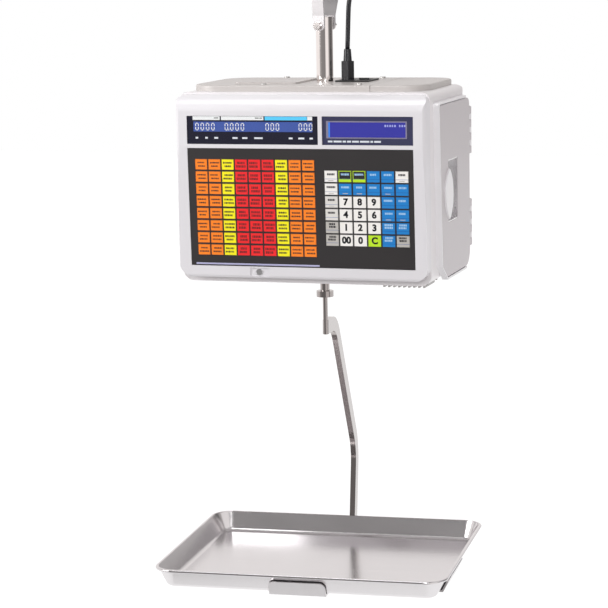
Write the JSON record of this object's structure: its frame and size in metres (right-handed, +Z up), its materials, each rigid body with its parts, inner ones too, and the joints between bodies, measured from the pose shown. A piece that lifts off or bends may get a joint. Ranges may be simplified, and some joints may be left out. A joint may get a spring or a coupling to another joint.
{
  "type": "hanging retail price scale",
  "caption": "Hanging price-computing scale: a keypad console on a post under a yoke, with a swivelling bowed arm and a lift-off steel pan.",
  "frame": {"origin": "centre of the mounting hole in the hanger yoke's top plate, on its upper face", "axes": "+Z up, the keypad side faces -Y, +X to the right of someone facing the keypad"},
  "size_m": [0.462, 0.4281, 1.001],
  "materials": {
    "housing": "satin silver-white moulding",
    "grille": "satin",
    "bright_metal": "bright plated",
    "yoke_steel": "plated strip",
    "pan_steel": "polished stainless",
    "fasteners": "zinc plated",
    "pull_metal": "bright",
    "pull_lip": "satin",
    "window": "smoked clear",
    "lcd": "lit blue",
    "lcd_frame": "satin",
    "keypad_black": "satin film",
    "key_orange": "printed",
    "key_yellow": "printed",
    "key_red": "printed",
    "key_white": "printed",
    "key_blue": "printed",
    "key_lime": "printed",
    "black_plastic": "satin",
    "cord_rubber": "satin",
    "board": "solder mask",
    "inner_steel": "galvanised",
    "cell_aluminium": "machined",
    "label_paper": "paper",
    "platen_rubber": "matt",
    "gear_plastic": "acetal",
    "print_head": "anodised"
  },
  "bodies": {
    "hanger": {"hanger_yoke": "yoke_steel", "pivot_bolt": "bright_metal", "pivot_nut_and_washers": "bright_metal", "lead_coil": "cord_rubber", "lead_tie": "black_plastic", "mains_plug": "cord_rubber", "mains_lead": "cord_rubber"},
    "door": {"printer_door": "housing", "door_pull_cup": "pull_metal", "door_pull_lip": "pull_lip"},
    "rocker": {"power_rocker": "black_plastic"},
    "load": {"suspension_rod": "bright_metal", "rod_nut": "bright_metal", "pan_arm": "bright_metal", "pan_cradle": "pan_steel"},
    "pan": {"weighing_pan": "pan_steel"},
    "roll": {"label_roll": "label_paper"},
    "platen": {"platen_roller": "platen_rubber", "platen_gear": "gear_plastic"},
    "pinion": {"motor_pinion": "gear_plastic"},
    "console": {"housing_shell": "housing", "front_bezel": "housing", "left_side_cover": "housing", "right_side_frame": "housing", "top_deck": "housing", "deck_end_cover": "housing", "deck_access_plate": "housing", "bottom_vent": "grille", "post_tube": "bright_metal", "load_sleeve": "bright_metal", "sleeve_collar": "bright_metal", "bezel_screw": "fasteners", "deck_screws": "fasteners", "flange_bolts": "fasteners", "door_hinge_pins": "fasteners", "left_window": "window", "right_window": "window", "left_lcd": "lcd", "right_lcd": "lcd", "right_lcd_frame": "lcd_frame", "keypad_overlay": "keypad_black", "keypad_backing": "keypad_black", "preset_keys_orange": "key_orange", "preset_keys_yellow": "key_yellow", "preset_keys_red": "key_red", "function_keys_white": "key_white", "function_keys_blue": "key_blue", "function_keys_lime": "key_lime", "inlet_module": "black_plastic", "appliance_plug": "cord_rubber", "plug_strain_relief": "cord_rubber", "display_board": "board", "main_board": "board", "chassis_frame": "inner_steel", "printer_chassis": "inner_steel", "power_supply": "inner_steel", "printer_motor": "inner_steel", "load_cell": "cell_aluminium", "thermal_head": "print_head"}
  },
  "joints": [
    {"name": "hanger_swing", "type": "hinge", "parent": "hanger", "child": "console", "pos_m": [0, 0, -0.148], "axis": [0.2924, 0.9563, 0], "range_deg": [-6, 6], "deforming": ["mains_lead"]},
    {"name": "printer_door_hinge", "type": "hinge", "parent": "console", "child": "door", "pos_m": [0.196, 0.106, -0.4], "axis": [0, 0, 1], "range_deg": [0, 100]},
    {"name": "power_rocker_tilt", "type": "hinge", "parent": "console", "child": "rocker", "pos_m": [0.06, 0.013, -0.235], "axis": [1, 0, 0], "range_deg": [0, 12]},
    {"name": "load_swivel", "type": "hinge", "parent": "console", "child": "load", "pos_m": [0, -0.018, -0.6], "axis": [0, 0, 1], "continuous": true},
    {"name": "pan_lift_off", "type": "slide", "parent": "load", "child": "pan", "axis": [0, 0, 1], "range_m": [0, 0.04]},
    {"name": "label_roll_spin", "type": "hinge", "parent": "console", "child": "roll", "pos_m": [0.142, 0.024, -0.33], "axis": [1, 0, 0], "continuous": true},
    {"name": "platen_spin", "type": "hinge", "parent": "console", "child": "platen", "pos_m": [0.142, -0.049, -0.43], "axis": [1, 0, 0], "continuous": true},
    {"name": "pinion_spin", "type": "hinge", "parent": "console", "child": "pinion", "pos_m": [0.11, -0.031, -0.43], "axis": [1, 0, 0], "continuous": true}
  ],
  "couplings": [
    {"joint": "pinion_spin", "follows": "platen_spin", "ratio": -2}
  ]
}
